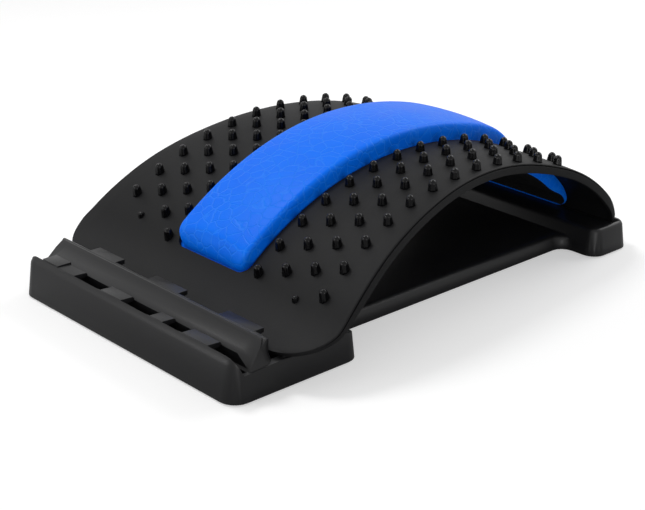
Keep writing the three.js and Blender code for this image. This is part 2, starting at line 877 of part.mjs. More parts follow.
// Fluted cone with a round tip, rooted along the plate's face but leaning less than the plate does
function nodule(run, x, share) {
  const { heading } = archLine.at(run);
  const lean = heading * noduleLeanShare;
  const up = new THREE.Vector3(0, -Math.sin(lean), Math.cos(lean));
  const level = new THREE.Vector3(0, Math.cos(lean), Math.sin(lean));
  const along = new THREE.Vector3(0, Math.cos(heading), Math.sin(heading));
  const across = new THREE.Vector3(1, 0, 0);
  const foot = archLine.point(run, x, -camberAt(run, x, plateHalfWidth(run)));
  const profile = [
    [noduleRadius, -plateThickness / 2, noduleFluteDepth, along],
    [noduleShoulderRadius, noduleShoulderHeight * share, noduleFluteDepth, level],
    [noduleTipRadius, noduleHeight * share, 0, level],
  ];
  const points = 2 * noduleFlutes;
  const rings = profile.map(([radius, rise, flute, forward]) => {
    const ring = [];
    for (let i = 0; i < points; i += 1) {
      const angle = (i / points) * 2 * Math.PI;
      const reach = radius - (i % 2) * flute;
      const point = foot.clone().addScaledVector(up, rise);
      point.addScaledVector(across, reach * Math.cos(angle));
      point.addScaledVector(forward, reach * Math.sin(angle));
      ring.push(point);
    }
    return ring;
  });
  return loft(rings);
}

// Places of the nodules: rows slant the same way on both sides, columns draw in with the plate
function nodulePlaces() {
  const places = [];
  const [inner] = noduleColumnsX;
  for (const side of [1, -1]) {
    const start = side > 0 ? noduleStartRight : noduleStartLeft;
    noduleColumnsX.forEach((column, index) => {
      const shift = side * noduleSlant * index;
      const firstRow = Math.ceil((noduleFrontLimit - start - shift) / nodulePitch);
      for (let row = firstRow; ; row += 1) {
        const run = start + shift + row * nodulePitch;
        if (run > archLine.length - noduleRearMargin) break;
        const half = plateHalfWidth(run);
        const narrow = 1 - noduleNarrowingShare * (1 - 2 * half / plateFrontWidth);
        const x = Math.min(inner + (column - inner) * narrow, half - noduleEdgeKeep);
        places.push([run, side * x, run < noduleStubLimit ? stubHeightShare : 1]);
      }
    });
  }
  return places;
}

function buildArchPlate() {
  const plate = loft(plateRuns().map(plateRing));
  const bead = new THREE.CylinderGeometry(tailBeadRadius, tailBeadRadius, plateRearWidth - 2 * tailCornerRadius, 16);
  bead.rotateZ(Math.PI / 2);
  const axis = tailAxis();
  bead.translate(0, axis.y, axis.z);
  const window = archSlab({
    from: windowFrontMargin,
    to: archLine.length - windowRearMargin,
    half: windowWidth / 2,
    corner: windowCornerRadius,
    low: -plateThickness - cutOverrun,
    high: cutOverrun,
  });
  const nodules = nodulePlaces().map(([run, x, share]) => nodule(run, x, share));
  const solid = union([plate, toSolid(bead), ...nodules]).subtract(window);
  return toGeometry(solid);
}

// Centre of the tail bead, the axis on which the arch swings in the foot
function tailAxis() {
  const end = archLine.point(archLine.length, 0, -plateThickness / 2);
  return { y: end.y, z: end.z };
}

// Pad: crowned top, ends rounded down into the window, sides a little full
function padBody(shrink, drop) {
  const low = flangeMiddle;
  const from = windowFrontMargin + padClearance + shrink;
  const to = archLine.length - windowRearMargin - padClearance - shrink;
  const rings = ringRuns(from, to, cornerRuns(from, to, padFrontRound, padRearRound, 5)).map((run) => {
    const end = Math.min(run - from, to - run);
    const front = 1 - Math.min(1, (run - from) / padFrontRound);
    const rear = 1 - Math.min(1, (to - run) / padRearRound);
    const round = Math.sqrt(Math.max(0, 1 - front ** 2)) * Math.sqrt(Math.max(0, 1 - rear ** 2));
    const swell = smooth((run - from) / (archLine.crownRun - from));
    const full = padRise * (padFrontRiseShare + (1 - padFrontRiseShare) * swell) - shrink;
    const rise = low + edgeRound + (full - low - edgeRound) * round;
    const corner = windowCornerRadius;
    const pinch = end < corner ? corner - Math.sqrt(corner * corner - (corner - end) ** 2) : 0;
    const half = windowWidth / 2 - padClearance - shrink - pinch;
    const edge = Math.min(padEdgeRadius, (rise - low) / 2);
    const turn = edge * arcMiddleShare;
    const side = [
      [0, rise + padCrown * round],
      [half * padCrownMiddleShare, rise + padCrown * padCrownFallShare * round],
      [half - edge, rise],
      [half - turn, rise - turn],
      [half, rise - edge],
      [half + padSideBulge * round, low + (rise - low) * padBulgeHeightShare],
      [half, low],
      [half, low - drop],
    ].slice(0, drop > 0 ? 8 : 7);
    const mirrored = side.slice(1).map(([x, up]) => [-x, up]).reverse();
    return [...side, ...mirrored].map(([x, up]) => archLine.point(run, x, up));
  });
  return loft(rings);
}

function padFlange(low, high) {
  return archSlab({
    from: windowFrontMargin - padFlangeFrontReach,
    to: archLine.length - windowRearMargin + padFlangeRearReach,
    half: windowWidth / 2 + padFlangeSideReach,
    corner: padFlangeCornerRadius,
    low,
    high,
  });
}

const flangeTop = -plateThickness - seatGap;
const flangeBottom = flangeTop - padFlangeThickness;
const flangeMiddle = (flangeTop + flangeBottom) / 2;

// Cover of the pad: a skin over the foam, open along the underside
function buildPadCover() {
  const outer = padBody(0, 0).add(padFlange(flangeBottom, flangeTop));
  return toGeometry(outer.subtract(padBody(coverThickness, padFlangeThickness / 2 + cutOverrun)));
}

function buildPadFoam() {
  return toGeometry(padBody(coverThickness + seatGap, padFlangeThickness / 2));
}

// Rubber disc with a bevelled lower edge
function buildRubberFoot() {
  const bevel = rubberFootProud / 2;
  const tread = disc(0, 0, 0, bevel, rubberFootRadius - bevel, rubberFootRadius, discSides);
  const body = disc(0, 0, bevel, rubberFootThickness, rubberFootRadius, rubberFootRadius, discSides);
  return toGeometry(tread.add(body));
}

function addMesh(parent, name, geometry, finish) {
  const mesh = new THREE.Mesh(geometry, new THREE.MeshStandardMaterial(finish));
  mesh.name = name;
  parent.add(mesh);
  return mesh;
}

const backStretcher = new THREE.Group();
const standing = new THREE.Group();
standing.position.z = rubberFootProud;
backStretcher.add(standing);
addMesh(standing, 'base', buildBase(tailAxis()), blackPlastic);
addMesh(standing, 'arch_plate', buildArchPlate(), archPlastic);
addMesh(standing, 'pad_cover', buildPadCover(), padBlue);
addMesh(standing, 'pad_foam', buildPadFoam(), foamGrey);
for (const [name, x, y] of rubberFootPlaces()) {
  const foot = addMesh(backStretcher, name, buildRubberFoot(), rubberGrey);
  foot.position.set(x, y, 0);
}

export default backStretcher;
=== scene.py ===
import math

import bpy
import bmesh
from mathutils import Matrix, Vector


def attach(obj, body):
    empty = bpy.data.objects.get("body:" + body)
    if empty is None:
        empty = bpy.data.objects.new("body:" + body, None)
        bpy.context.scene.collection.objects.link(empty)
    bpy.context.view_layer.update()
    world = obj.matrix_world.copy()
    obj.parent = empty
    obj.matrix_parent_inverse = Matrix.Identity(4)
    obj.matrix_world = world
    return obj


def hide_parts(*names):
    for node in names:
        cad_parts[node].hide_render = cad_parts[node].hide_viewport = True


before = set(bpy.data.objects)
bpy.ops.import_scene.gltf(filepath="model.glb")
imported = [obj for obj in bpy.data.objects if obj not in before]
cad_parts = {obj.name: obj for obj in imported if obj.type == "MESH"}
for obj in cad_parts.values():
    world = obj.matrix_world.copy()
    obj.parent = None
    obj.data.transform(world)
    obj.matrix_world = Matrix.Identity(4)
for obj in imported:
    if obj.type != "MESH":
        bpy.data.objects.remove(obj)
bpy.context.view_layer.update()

MM = 0.001
DEGREE = math.pi / 180


# Sizes in millimetres, angles in degrees

# Side line of the arch's top face, from its groove in the head to its bead in the foot
RUBBER_PROUD = 1.0
BASE_HALF_LENGTH = 203.0
CROWN_Z = 98.3
TOE_ANGLE = 23.5
TOE_LENGTH = 14.8
BLEND_RADIUS = 90.0
FRONT_SHOULDER = 232.0
CROWN_FRONT_TURN = 6.0
CROWN_RADIUS = 267.7
CROWN_REAR_TURN = 22.5
REAR_SHOULDER = 142.7
HEEL_RADIUS = 40.2
TAIL_ANGLE = 76.0
TAIL_LENGTH = 12.4
TAIL_SETBACK = 12.0
TAIL_BEAD_Z = 15.0
TAIL_BEAD_RADIUS = 2.6
SEAT_GAP = 0.3
GROOVE_SETBACK = 34.2
LIP_REACH = 6.2
GROOVE_FLOOR_Z = 19.0
FRONT_EDGE_Y = -BASE_HALF_LENGTH + GROOVE_SETBACK + LIP_REACH + SEAT_GAP
FRONT_SEAT_Z = GROOVE_FLOOR_Z + SEAT_GAP
LEAST_FIT_SHARE = 0.3
MOST_FIT_SHARE = 3.0
FIT_ROUNDS = 50

# Outline of the plate seen from above, the fall of its face towards the rims, its rim and its skirt
PLATE_THICKNESS = 3.0
PLATE_FRONT_WIDTH = 274.0
PLATE_WAIST_WIDTH = 206.6
PLATE_REAR_WIDTH = 214.0
TAPER_START_Y = -135.0
WAIST_Y = 80.0
TAPER_ONSET = 1.15
TAPER_POWER = 1.7
CAMBER_DROP = 1.8
CAMBER_FRONT_RUN = 85.0
CAMBER_FRONT_FADE = 75.0
CAMBER_REAR_FADE = 130.0
CAMBER_START_X = 66.0
PLATE_CORNER = 36.0
TAIL_CORNER = 14.0
SKIRT_DEPTH = 7.0
SKIRT_THICKNESS = 2.4
SKIRT_OUTSET = 0.9
SKIRT_STEP = 1.5
SKIRT_FADE_FRONT = 70.0
SKIRT_FADE_REAR = 34.0
EDGE_ROUND = 0.8
# Small breaks: of the skirt's step, inwards and downwards, and of its lower edge, inwards and upwards
STEP_BREAK = (0.15, 0.05)
SKIRT_BREAK = (0.25, 0.1)
PLATE_RING_STEP = 2.5
PLATE_CORNER_STEPS = 18
PLATE_SHARP_ANGLE = 32
BEAD_SIDES = 24

# Window in the plate and the pad that sits through it
WINDOW_WIDTH = 76.0
WINDOW_FRONT_MARGIN = 41.0
WINDOW_REAR_MARGIN = 72.0
WINDOW_CORNER = 9.0
WINDOW_CORNER_STEPS = 8
CUT_OVERRUN = 2.0
PAD_CLEARANCE = 1.8
PAD_RISE = 12.6
PAD_FRONT_RISE_SHARE = 0.76
PAD_FRONT_ROUND = 13.0
PAD_REAR_ROUND = 44.0
PAD_EDGE = 3.2
PAD_CROWN = 1.6
PAD_END_HEIGHT = 0.8
PAD_RING_STEP = 4.0
PAD_END_STEPS = 9
# How far the filling may push the skin: not at all up to a height above the plate, then more and more
PAD_SWELL = 0.9
SWELL_START_RISE = 1.5
SWELL_FADE = 6.0

# Base sheet of the pad under the plate, and a flat black board under it that is painted shade on the
# sheet's underside. The sheet thickens behind the crown over one run and thins towards its end over
# another.
FLANGE_SIDE_REACH = 25.0
FLANGE_FRONT_REACH = 6.0
FLANGE_REAR_GAP = 8.0
FLANGE_THICKNESS = 2.4
FLANGE_REAR_THICKNESS = 11.0
FLANGE_THICKENING = 60.0
FLANGE_THINNING = 40.0
FLANGE_CORNER = 12.0
FLANGE_REAR_CORNER = 9.0
FLANGE_RING_STEP = 3.0
FLANGE_CORNER_STEPS = 8
FLANGE_SHARP_ANGLE = 40
# Edges of the sheet: inwards and down from its upper edge, inwards and up from its lower edge
FLANGE_UPPER_EDGE = ((1.0, 0.0), (0.3, 0.3), (0.0, 1.0))
FLANGE_LOWER_EDGE = ((0.1, 0.9), (0.5, 0.3), (1.2, 0.0))
# Edges of the black board of painted shade on both sides: inwards and up from the sheet's lower edge
SHADE_BOARD_RIGHT_EDGE = ((0.6, 0.6), (0.9, -0.4))
SHADE_BOARD_LEFT_EDGE = ((0.3, -0.4), (0.0, 1.2))
SHADE_BOARD_FRONT_GAP = 2.0
SHADE_BOARD_REAR_GAP = 1.0

# Nodules in slanting rows on both sides of the window, right side 1 and left side -1
NODULE_PITCH = 23.4
NODULE_SLANT = 8.8
NODULE_START = {1: 46.0, -1: 43.6}
NODULE_FIRST_ROWS = {1: (0, 0, -1, -1), -1: (0, 1, 1, 2)}
NODULE_STUBS = ((1, 2, -1), (-1, 2, 1))
NODULE_REAR_MARGIN = 86.0
NODULE_COLUMNS = {1: (48.0, 68.6, 89.4, 109.8), -1: (46.5, 65.0, 85.5, 106.5)}
NODULE_NARROWING = 0.8
NODULE_EDGE_KEEP = 6.5
NODULE_LEAN = 0.3
NODULE_RADIUS = 3.7
NODULE_HEIGHT = 7.8
NODULE_TAPER_SHARE = 0.3
NODULE_TIP_SHARE = 0.36
NODULE_SINK = 0.6
NODULE_WELD = 0.01
FLUTE_DEPTH_SHARE = 0.15
FLUTE_COUNT = 8.0
STUB_SHARE = 0.45

# Openings between the tabs of the front rail, and tab ends cut off the second ridge, as places across
RAIL_OPENINGS = ((-58.5, -30.0), (-4.8, 24.0), (40.0, 57.0), (86.0, 107.0))
RAIL_OPENING_Y = (-197.2, -186.0)
RAIL_OPENING_Z = (24.0, 45.0)
SPARE_TAB_ENDS = ((-49.5, -35.0), (20.5, 33.5), (97.5, 106.5))
SPARE_TAB_Y = (-168.5, -160.0)
SPARE_TAB_Z = (31.5, 45.0)
# Longer lips: the first one of the rail towards its left end, and those of the second ridge to the rear.
# Each is a box, with its ranges in x, y and z.
LONGER_LIPS = ((-96.0, -78.0, -197.4, -186.2, 28.7, 31.8), (-78.5, -49.5, -170.0, -161.2, 32.9, 36.1),
               (-12.1, 20.5, -170.0, -161.2, 32.9, 36.1), (63.5, 97.5, -170.0, -161.2, 32.9, 36.1))
# Plateau between the front rail and the second ridge: its section in y and z, the heights to which that
# sinks at both ends, and the places across the head, with the share of the full height reached there
PLATEAU_SECTION = ((-185.8, 20.0), (-185.8, 27.6), (-181.5, 29.6), (-173.0, 34.6), (-170.2, 36.2),
                   (-169.0, 35.9), (-169.0, 20.0))
PLATEAU_LOW = (20.0, 20.3, 24.6, 33.2, 35.9, 35.7, 20.0)
PLATEAU_ENDS = ((-110.8, 0.0), (-101.0, 1.0), (101.0, 1.0), (110.8, 0.0))
# Rounds that the mould leaves on the edges of the base, where they turn by more than an angle
MOULD_ROUND = 0.9
MOULD_ROUND_ANGLE = 38
BASE_SHARP_ANGLE = 40
BASE_FLAT_ANGLE = 0.8
BASE_WELD = 0.001


# Camera at the photograph's angle

CAMERA_AZIMUTH = 46.66
CAMERA_ELEVATION = 22.314
CAMERA_ROLL = 1.018
CAMERA_DISTANCE = 1145.73
CAMERA_TARGET = (-30.12, 8.59, 0.0)
SENSOR_WIDTH = 36.0
FOCAL_PIXELS = 1500.0
IMAGE_WIDTH = 645.0


def place_camera():
    azimuth, elevation, roll = CAMERA_AZIMUTH * DEGREE, CAMERA_ELEVATION * DEGREE, CAMERA_ROLL * DEGREE
    back = Vector((math.sin(azimuth) * math.cos(elevation), -math.cos(azimuth) * math.cos(elevation),
                   math.sin(elevation)))
    right = Vector((math.cos(azimuth), math.sin(azimuth), 0.0))
    up = back.cross(right)
    right_rolled = right * math.cos(roll) + up * math.sin(roll)
    up_rolled = up * math.cos(roll) - right * math.sin(roll)
    data = bpy.data.cameras.new("view_camera")
    data.sensor_fit = "HORIZONTAL"
    data.sensor_width = SENSOR_WIDTH
    data.lens = SENSOR_WIDTH * FOCAL_PIXELS / IMAGE_WIDTH
    camera = bpy.data.objects.new("view_camera", data)
    place = Vector(CAMERA_TARGET) * MM + back * (CAMERA_DISTANCE * MM)
    turn = Matrix((right_rolled, up_rolled, back)).transposed().to_4x4()
    camera.matrix_world = Matrix.Translation(place) @ turn
    bpy.context.scene.collection.objects.link(camera)
    bpy.context.scene.camera = camera


place_camera()


# Materials

def linear(code):
    """sRGB hex to linear colour."""
    parts = [int(code[i:i + 2], 16) / 255 for i in (1, 3, 5)]
    return tuple(p / 12.92 if p <= 0.04045 else ((p + 0.055) / 1.055) ** 2.4 for p in parts) + (1.0,)


def add(tree, kind, settings=None, inputs=None, links=None):
    """One node with its settings, its input values and the sockets that feed it."""
    node = tree.nodes.new(kind)
    for name, value in (settings or {}).items():
        setattr(node, name, value)
    for key, value in (inputs or {}).items():
        node.inputs[key].default_value = value
    for key, socket in (links or {}).items():
        tree.links.new(socket, node.inputs[key])
    return node


def new_material(name):
    material = bpy.data.materials.new(name)
    material.use_nodes = True
    tree = material.node_tree
    tree.nodes.clear()
    coords = add(tree, "ShaderNodeTexCoord")
    return material, tree, coords.outputs["Object"]


def moulded_plastic(name, colours, roughness, grain_mm, depth_mm, ior, specular):
    """Injection-moulded plastic: a spark-eroded grain from the tool, a slight uneven gloss from flow."""
    flow_mm = 38
    flow_share = 0.6
    # The real grain is a small part of a millimetre, and is drawn as coarse as it needs to show
    material, tree, place = new_material(name)
    cloud = add(tree, "ShaderNodeTexNoise", inputs={"Scale": 1 / (flow_mm * MM), "Detail": 3.0},
                links={"Vector": place})
    grain = add(tree, "ShaderNodeTexNoise", inputs={"Scale": 1 / (grain_mm * MM), "Detail": 2.0},
                links={"Vector": place})
    colour = add(tree, "ShaderNodeMix", {"data_type": "RGBA"},
                 inputs={6: linear(colours[0]), 7: linear(colours[1])},
                 links={"Factor": cloud.outputs["Fac"]})
    uneven = add(tree, "ShaderNodeMath", {"operation": "MULTIPLY_ADD"}, inputs={1: flow_share},
                 links={0: cloud.outputs["Fac"], 2: grain.outputs["Fac"]})
    rough = add(tree, "ShaderNodeMapRange", inputs={"To Min": roughness[0], "To Max": roughness[1]},
                links={"Value": uneven.outputs[0]})
    bump = add(tree, "ShaderNodeBump", inputs={"Strength": 1.0, "Distance": depth_mm * MM},
               links={"Height": grain.outputs["Fac"]})
    shader = add(tree, "ShaderNodeBsdfPrincipled",
                 inputs={"IOR": ior, "Metallic": 0.0, "Specular IOR Level": specular},
                 links={"Base Color": colour.outputs[2], "Roughness": rough.outputs["Result"],
                        "Normal": bump.outputs["Normal"]})
    add(tree, "ShaderNodeOutputMaterial", links={"Surface": shader.outputs[0]})
    return material


# ABS with a fine spark-eroded grain: satin black that catches light along every edge
base_abs = moulded_plastic("satin_black_abs", ("#0f0f10", "#141416"), (0.26, 0.42),
                           grain_mm=0.9, depth_mm=0.010, ior=1.53, specular=0.24)
# Polypropylene with a matt grain: soft broad sheen over the arch
arch_pp = moulded_plastic("matt_black_polypropylene", ("#0e0e0f", "#131314"), (0.42, 0.60),
                          grain_mm=0.8, depth_mm=0.010, ior=1.49, specular=0.13)
# Polished polypropylene of the nodules, on the same moulding: small sharp highlights
nodule_gloss = moulded_plastic("polished_black_polypropylene", ("#08080a", "#0d0d0e"), (0.08, 0.16),
                               grain_mm=2.2, depth_mm=0.004, ior=1.49, specular=0.18)
# Vulcanised rubber of the anti-slip feet: dull, slightly dusty black
foot_rubber = moulded_plastic("vulcanised_rubber", ("#1b1b1b", "#262626"), (0.75, 0.92),
                              grain_mm=1.4, depth_mm=0.03, ior=1.52, specular=0.3)
# Painted shade on the underside of the pad's sheet: a flat black board, slightly mottled
shade_board = moulded_plastic("painted_shade_board", ("#0d0d0e", "#141415"), (0.70, 0.86),
                                grain_mm=1.6, depth_mm=0.02, ior=1.46, specular=0.2)


def pad_skin():
    """Soft-touch polyurethane skin over foam: satin royal blue with fine creases and pores."""
    cloud_mm = 30
    crease_mm = 9
    crease_bend_mm = 5
    crease_width_share = 0.07
    vein_share = 0.22
    # Pores are drawn coarser than real ones, so that they show
    pore_mm = 0.9
    pore_share = 0.5
    depth_mm = 0.16
    material, tree, place = new_material("soft_polyurethane_skin")
    cloud = add(tree, "ShaderNodeTexNoise", inputs={"Scale": 1 / (cloud_mm * MM), "Detail": 4.0},
                links={"Vector": place})
    # Creases are thin lines between bent cells, paler where the skin is stretched
    warp = add(tree, "ShaderNodeTexNoise", inputs={"Scale": 1 / (crease_mm * MM), "Detail": 2.0},
               links={"Vector": place})
    push = add(tree, "ShaderNodeVectorMath", {"operation": "SCALE"}, inputs={"Scale": crease_bend_mm * MM},
               links={0: warp.outputs["Color"]})
    bent = add(tree, "ShaderNodeVectorMath", {"operation": "ADD"}, links={0: place, 1: push.outputs[0]})
    cells = add(tree, "ShaderNodeTexVoronoi", {"feature": "DISTANCE_TO_EDGE"},
                inputs={"Scale": 1 / (crease_mm * MM)}, links={"Vector": bent.outputs[0]})
    crease = add(tree, "ShaderNodeMapRange", inputs={"From Min": 0.0, "From Max": crease_width_share},
                 links={"Value": cells.outputs["Distance"]})
    pores = add(tree, "ShaderNodeTexNoise", inputs={"Scale": 1 / (pore_mm * MM), "Detail": 3.0},
                links={"Vector": place})
    height = add(tree, "ShaderNodeMath", {"operation": "MULTIPLY_ADD"}, inputs={1: pore_share},
                 links={0: pores.outputs["Fac"], 2: crease.outputs["Result"]})
    bump = add(tree, "ShaderNodeBump", inputs={"Strength": 1.0, "Distance": depth_mm * MM},
               links={"Height": height.outputs[0]})
    blue = add(tree, "ShaderNodeMix", {"data_type": "RGBA"},
               inputs={6: linear("#0069f6"), 7: linear("#007afe")}, links={"Factor": cloud.outputs["Fac"]})
    vein = add(tree, "ShaderNodeMapRange", inputs={"To Min": vein_share, "To Max": 0.0},
               links={"Value": crease.outputs["Result"]})
    veined = add(tree, "ShaderNodeMix", {"data_type": "RGBA"}, inputs={7: linear("#3c9bff")},
                 links={"Factor": vein.outputs["Result"], 6: blue.outputs[2]})
    rough = add(tree, "ShaderNodeMapRange", inputs={"To Min": 0.34, "To Max": 0.50},
                links={"Value": cloud.outputs["Fac"]})
    shader = add(tree, "ShaderNodeBsdfPrincipled", inputs={"IOR": 1.45, "Specular IOR Level": 0.13},
                 links={"Base Color": veined.outputs[2], "Roughness": rough.outputs["Result"],
                        "Normal": bump.outputs["Normal"]})
    add(tree, "ShaderNodeOutputMaterial", links={"Surface": shader.outputs[0]})
    return material


pad_pu = pad_skin()


# Side line of the arch

class ArchLine:
    """Top face of the arch from the side: toe, blend, front shoulder, crown, rear shoulder, heel, tail."""

    def __init__(self):
        toe, tail = TOE_ANGLE * DEGREE, TAIL_ANGLE * DEGREE
        start = (FRONT_EDGE_Y, FRONT_SEAT_Z + PLATE_THICKNESS * math.cos(toe))
        end_y = BASE_HALF_LENGTH - TAIL_SETBACK + PLATE_THICKNESS / 2 * math.sin(tail)
        rise = CROWN_Z - start[1] - TOE_LENGTH * math.sin(toe)
        fall = CROWN_Z - TAIL_BEAD_Z - TAIL_LENGTH * math.sin(tail)
        low, high = LEAST_FIT_SHARE, MOST_FIT_SHARE
        for _ in range(FIT_ROUNDS):
            fit = (low + high) / 2
            self.build(start, fit, *self.turns(fit, rise, fall))
            low, high = (fit, high) if self.end()[0] < end_y else (low, fit)
        self.length = sum(part[0] for part in self.parts)
        before = sum(part[0] for part in self.parts[:3])
        self.crown = before + low * CROWN_RADIUS * CROWN_FRONT_TURN * DEGREE

    def turns(self, fit, rise, fall):
        """Headings at the feet of both shoulders at which the crown stands as high as wanted."""
        front_crown, rear_crown = CROWN_FRONT_TURN * DEGREE, CROWN_REAR_TURN * DEGREE
        front_drop = CROWN_RADIUS * (1 - math.cos(front_crown))
        rear_drop = CROWN_RADIUS * (1 - math.cos(rear_crown))
        front_top = fit * (front_drop + FRONT_SHOULDER * math.cos(front_crown))
        rear_top = fit * (rear_drop + REAR_SHOULDER * math.cos(rear_crown))
        blend_top = BLEND_RADIUS * math.cos(TOE_ANGLE * DEGREE)
        heel_top = HEEL_RADIUS * math.cos(TAIL_ANGLE * DEGREE)
        front = (front_top + blend_top - rise) / (fit * FRONT_SHOULDER + BLEND_RADIUS)
        rear = (rear_top - heel_top - fall) / (fit * REAR_SHOULDER - HEEL_RADIUS)
        return [math.acos(max(-1.0, min(1.0, value))) for value in (front, rear)]

    def build(self, start, fit, front, rear):
        toe, tail = TOE_ANGLE * DEGREE, TAIL_ANGLE * DEGREE
        front_crown, rear_crown = CROWN_FRONT_TURN * DEGREE, CROWN_REAR_TURN * DEGREE
        self.parts = [(TOE_LENGTH, start, toe, toe)]
        self.bend(BLEND_RADIUS, toe, front)
        self.bend(fit * FRONT_SHOULDER, front, front_crown)
        self.bend(fit * CROWN_RADIUS, front_crown, -rear_crown)
        self.bend(fit * REAR_SHOULDER, -rear_crown, -rear)
        self.bend(HEEL_RADIUS, -rear, -tail)
        self.parts.append((TAIL_LENGTH, self.end()[:2], -tail, -tail))

    def bend(self, radius, begin, finish):
        self.parts.append((radius * abs(finish - begin), self.end()[:2], begin, finish))

    def along(self, part, run):
        length, (y, z), begin, finish = part
        if begin == finish:
            return y + run * math.cos(begin), z + run * math.sin(begin), begin
        radius = length / abs(finish - begin)
        side = 1 if finish > begin else -1
        heading = begin + (finish - begin) * run / length
        return (y + side * radius * (math.sin(heading) - math.sin(begin)),
                z - side * radius * (math.cos(heading) - math.cos(begin)), heading)

    def end(self):
        return self.along(self.parts[-1], self.parts[-1][0])

    def at(self, run):
        for part in self.parts[:-1]:
            if run <= part[0]:
                return self.along(part, run)
            run -= part[0]
        return self.along(self.parts[-1], run)

    def point(self, run, x, rise):
        """A point in metres, rise millimetres out of the top face."""
        y, z, heading = self.at(run)
        return Vector((x, y - rise * math.sin(heading), z + rise * math.cos(heading) + RUBBER_PROUD)) * MM


arch = ArchLine()


def smooth(share):
    share = min(1.0, max(0.0, share))
    return share * share * (3 - 2 * share)


def corner_cut(distance, radius):
    return 0.0 if distance >= radius else radius - math.sqrt(radius ** 2 - (radius - distance) ** 2)


def plate_half_width(run):
    y = arch.at(run)[0]
    ahead = min(1.0, max(0.0, (y - TAPER_START_Y) / (WAIST_Y - TAPER_START_Y)))
    waist = (1 - ahead ** TAPER_ONSET) ** TAPER_POWER
    flare = smooth((y - WAIST_Y) / (arch.end()[0] - WAIST_Y))
    half = (PLATE_WAIST_WIDTH + (PLATE_FRONT_WIDTH - PLATE_WAIST_WIDTH) * waist
            + (PLATE_REAR_WIDTH - PLATE_WAIST_WIDTH) * flare) / 2
    return half - corner_cut(run, PLATE_CORNER) - corner_cut(arch.length - run, TAIL_CORNER)


def camber_at(run, x, half):
    """Fall of the plate's face towards its rims."""
    reach = min(abs(x), half) - CAMBER_START_X
    if reach <= 0 or half <= CAMBER_START_X:
        return 0.0
    front = smooth((run - CAMBER_FRONT_RUN) / CAMBER_FRONT_FADE)
    rear = smooth((arch.length - run) / CAMBER_REAR_FADE)
    return CAMBER_DROP * front * rear * (reach / (half - CAMBER_START_X)) ** 2


# Mesh helpers

def add_object(name, mesh):
    obj = bpy.data.objects.new(name, mesh)
    bpy.context.scene.collection.objects.link(obj)
    return obj


def loft(name, rings):
    """Closed skin over a row of rings."""
    count = len(rings[0])
    verts = [point for ring in rings for point in ring]
    faces = []
    for r in range(len(rings) - 1):
        for i in range(count):
            j = (i + 1) % count
            faces.append((r * count + i, r * count + j, (r + 1) * count + j, (r + 1) * count + i))
    faces.append(tuple(reversed(range(count))))
    last = (len(rings) - 1) * count
    faces.append(tuple(range(last, last + count)))
    mesh = bpy.data.meshes.new(name)
    mesh.from_pydata([tuple(v) for v in verts], [], faces)
    outward(mesh)
    return mesh


def outward(mesh):
    work = bmesh.new()
    work.from_mesh(mesh)
    bmesh.ops.recalc_face_normals(work, faces=work.faces)
    if work.calc_volume(signed=True) < 0:
        bmesh.ops.reverse_faces(work, faces=work.faces)
    work.to_mesh(mesh)
    work.free()


def bake(obj):
    """Applies every modifier by taking the evaluated mesh."""
    graph = bpy.context.evaluated_depsgraph_get()
    mesh = bpy.data.meshes.new_from_object(obj.evaluated_get(graph))
    obj.modifiers.clear()
    old = obj.data
    obj.data = mesh
    mesh.name = obj.name
    bpy.data.meshes.remove(old)


def set_material(obj, material):
    obj.data.materials.clear()
    obj.data.materials.append(material)


def shade_smooth(obj):
    for polygon in obj.data.polygons:
        polygon.use_smooth = True


def smooth_by_angle(obj, angle):
    shade_smooth(obj)
    obj.data.set_sharp_from_angle(angle=angle * DEGREE)


def even_runs(start, stop, step):
    count = max(1, round((stop - start) / step))
    return [start + (stop - start) * i / count for i in range(count + 1)]


def corner_runs(start, stop, front, rear, steps):
    """Quarter turns of the corners at both ends of a stretch, given as runs."""
    shares = [1 - math.cos(i / steps * math.pi / 2) for i in range(steps + 1)]
    return [start + front * s for s in shares], [stop - rear * s for s in reversed(shares)]


def full_runs(start, stop, front, rear, steps, step):
    """Runs of a whole stretch: its front corners, even steps, its rear corners."""
    head, tail = corner_runs(start, stop, front, rear, steps)
    return head + even_runs(head[-1], tail[0], step)[1:-1] + tail


# Arch plate

def arc_points(cx, cz, radius, first, last, steps):
    turns = [(first + (last - first) * i / steps) * DEGREE for i in range(steps + 1)]
    return [(cx + radius * math.cos(turn), cz + radius * math.sin(turn)) for turn in turns]


def plate_ring(run):
    """Section of the plate: face, rounded rim, skirt at both sides, underside."""
    half = plate_half_width(run)
    fade = smooth(run / SKIRT_FADE_FRONT) * smooth((arch.length - run) / SKIRT_FADE_REAR)
    depth = PLATE_THICKNESS + (SKIRT_DEPTH - PLATE_THICKNESS) * fade
    edge = half + SKIRT_OUTSET * fade
    slope = [CAMBER_START_X + (half - EDGE_ROUND - CAMBER_START_X) * s for s in (0, 0.2, 0.4, 0.6, 0.8)]
    side = [(x, 0.0) for x in slope] + arc_points(half - EDGE_ROUND, -EDGE_ROUND, EDGE_ROUND, 90, 0, 3)
    side += [(half - EDGE_ROUND * fade, -SKIRT_STEP), (edge - STEP_BREAK[0], -SKIRT_STEP - STEP_BREAK[1]),
             (edge, -SKIRT_STEP - EDGE_ROUND / 2)]
    side += [(edge, -depth + EDGE_ROUND / 2), (edge - SKIRT_BREAK[0], -depth + SKIRT_BREAK[1]),
             (edge - EDGE_ROUND, -depth)]
    side += [(half - SKIRT_THICKNESS, -depth), (half - SKIRT_THICKNESS - EDGE_ROUND, -PLATE_THICKNESS)]
    side += [(x, -PLATE_THICKNESS) for x in reversed(slope[:4])]
    mirrored = [(-x, rise) for x, rise in reversed(side)]
    return [arch.point(run, x, rise - camber_at(run, x, half)) for x, rise in side + mirrored]


